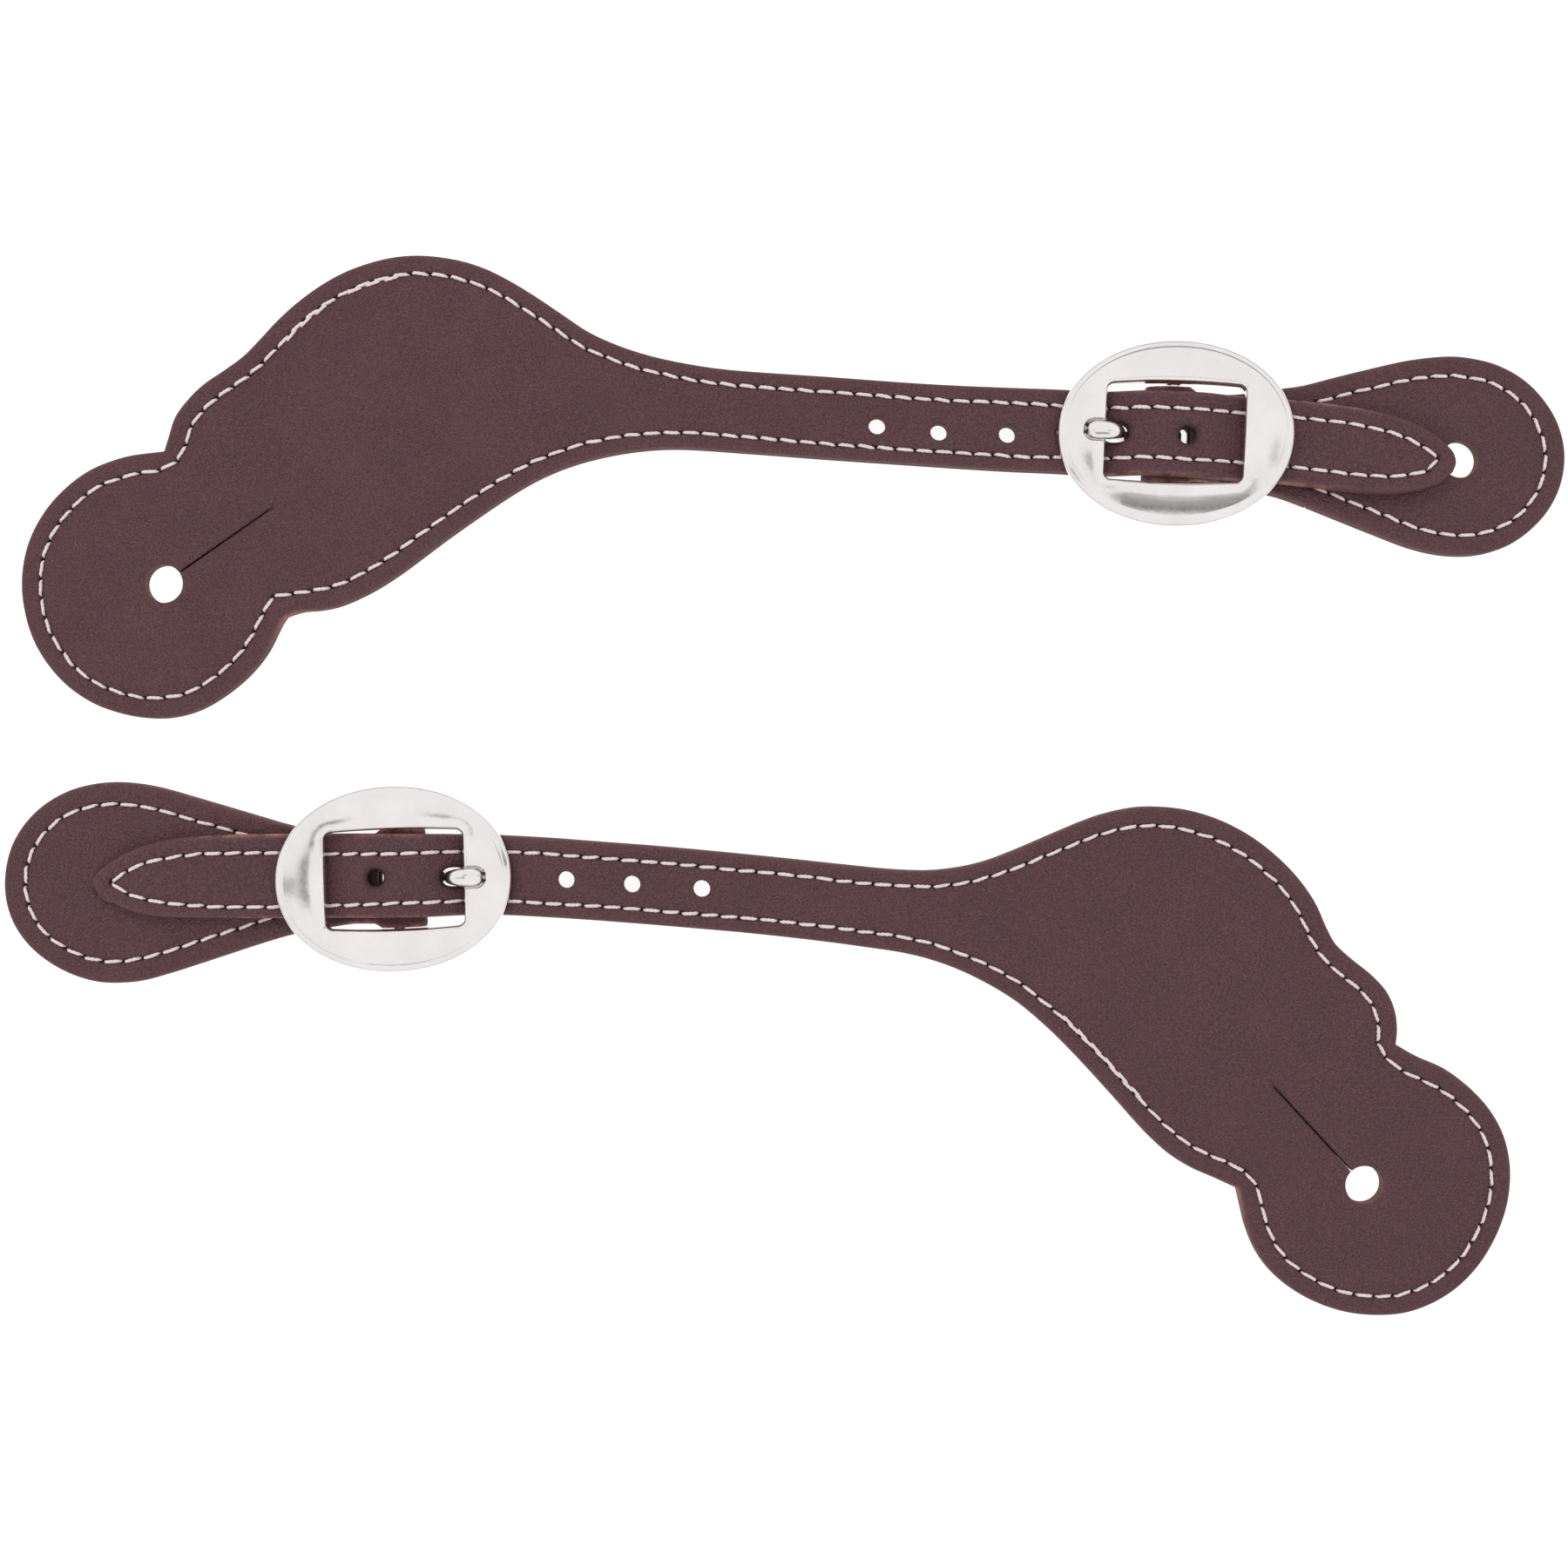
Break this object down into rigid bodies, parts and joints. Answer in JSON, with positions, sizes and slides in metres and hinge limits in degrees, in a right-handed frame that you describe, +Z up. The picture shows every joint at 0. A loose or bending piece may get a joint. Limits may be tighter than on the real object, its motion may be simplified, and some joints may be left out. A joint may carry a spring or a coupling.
{
  "type": "pair of spur straps",
  "caption": "Mirrored pair of stitched leather spur straps: shaped wing with buttonhole, punched strap, oval centre-bar buckle and teardrop tab.",
  "frame": {"origin": "centre of the box of the pair, on the plane that both straps lie on", "axes": "+X along the straps, +Y from the second strap to the first, +Z up, out of the grain side"},
  "size_m": [0.3481, 0.2366, 0.0118],
  "materials": {
    "leather_face": "satin, fine grain, dark red-brown",
    "leather_lining": "matt, dark red-brown flesh side",
    "thread": "off-white waxed thread",
    "steel": "satin polished stainless steel"
  },
  "bodies": {
    "left_wing": {"left_wing_face": "leather_face", "left_wing_lining": "leather_lining", "left_wing_thread": "thread"},
    "left_strap": {"left_strap_face": "leather_face", "left_strap_lining": "leather_lining", "left_strap_thread_upper": "thread", "left_strap_thread_lower": "thread"},
    "left_billet": {"left_billet_face": "leather_face", "left_billet_lining": "leather_lining", "left_billet_thread_upper": "thread", "left_billet_thread_lower": "thread", "left_buckle_frame": "steel"},
    "left_prong": {"left_buckle_prong": "steel"},
    "left_tongue": {"left_tongue_face": "leather_face", "left_tongue_lining": "leather_lining", "left_tongue_thread": "thread"},
    "left_tab": {"left_tab_face": "leather_face", "left_tab_lining": "leather_lining", "left_tab_thread": "thread"},
    "right_wing": {"right_wing_face": "leather_face", "right_wing_lining": "leather_lining", "right_wing_thread": "thread"},
    "right_strap": {"right_strap_face": "leather_face", "right_strap_lining": "leather_lining", "right_strap_thread_upper": "thread", "right_strap_thread_lower": "thread"},
    "right_billet": {"right_billet_face": "leather_face", "right_billet_lining": "leather_lining", "right_billet_thread_upper": "thread", "right_billet_thread_lower": "thread", "right_buckle_frame": "steel"},
    "right_prong": {"right_buckle_prong": "steel"},
    "right_tongue": {"right_tongue_face": "leather_face", "right_tongue_lining": "leather_lining", "right_tongue_thread": "thread"},
    "right_tab": {"right_tab_face": "leather_face", "right_tab_lining": "leather_lining", "right_tab_thread": "thread"}
  },
  "joints": [
    {"name": "left_wing_flex", "type": "hinge", "parent": "left_wing", "child": "left_strap", "pos_m": [-0.02153, 0.08472, 0.0036], "axis": [-0.0663, -0.9978, 0], "range_deg": [0, 40], "stiffness_Nm_per_rad": 0.02},
    {"name": "left_strap_flex", "type": "hinge", "parent": "left_strap", "child": "left_billet", "pos_m": [0.04142, 0.07976, 0.0036], "axis": [-0.0454, -0.999, 0], "range_deg": [0, 35], "stiffness_Nm_per_rad": 0.02},
    {"name": "left_tongue_flex", "type": "hinge", "parent": "left_billet", "child": "left_tongue", "pos_m": [0.11384, 0.07647, 0.0075], "axis": [-0.0454, -0.999, 0], "range_deg": [0, 35], "stiffness_Nm_per_rad": 0.01},
    {"name": "left_bar_pivot", "type": "hinge", "parent": "left_billet", "child": "left_tab", "pos_m": [0.08637, 0.07772, 0.0028], "axis": [0.0454, 0.999, 0], "range_deg": [0, 2]},
    {"name": "left_prong_hinge", "type": "hinge", "parent": "left_billet", "child": "left_prong", "pos_m": [0.08637, 0.07772, 0.0028], "axis": [0.0454, 0.999, 0], "range_deg": [0, 3.5]},
    {"name": "right_wing_flex", "type": "hinge", "parent": "right_wing", "child": "right_strap", "pos_m": [0.02157, -0.02758, 0.0036], "axis": [0.1132, 0.9936, 0], "range_deg": [0, 40], "stiffness_Nm_per_rad": 0.02},
    {"name": "right_strap_flex", "type": "hinge", "parent": "right_strap", "child": "right_billet", "pos_m": [-0.04134, -0.0195, 0.0036], "axis": [-0.0262, 0.9997, 0], "range_deg": [0, 35], "stiffness_Nm_per_rad": 0.02},
    {"name": "right_tongue_flex", "type": "hinge", "parent": "right_billet", "child": "right_tongue", "pos_m": [-0.11382, -0.0214, 0.0075], "axis": [-0.0262, 0.9997, 0], "range_deg": [0, 35], "stiffness_Nm_per_rad": 0.01},
    {"name": "right_bar_pivot", "type": "hinge", "parent": "right_billet", "child": "right_tab", "pos_m": [-0.08633, -0.02068, 0.0028], "axis": [0.0262, -0.9997, 0], "range_deg": [0, 2]},
    {"name": "right_prong_hinge", "type": "hinge", "parent": "right_billet", "child": "right_prong", "pos_m": [-0.08633, -0.02068, 0.0028], "axis": [0.0262, -0.9997, 0], "range_deg": [0, 3.5]},
    {"name": "right_strap_lift", "type": "slide", "parent": "left_wing", "child": "right_wing", "axis": [0, 0, 1], "range_m": [0, 0.1]}
  ]
}
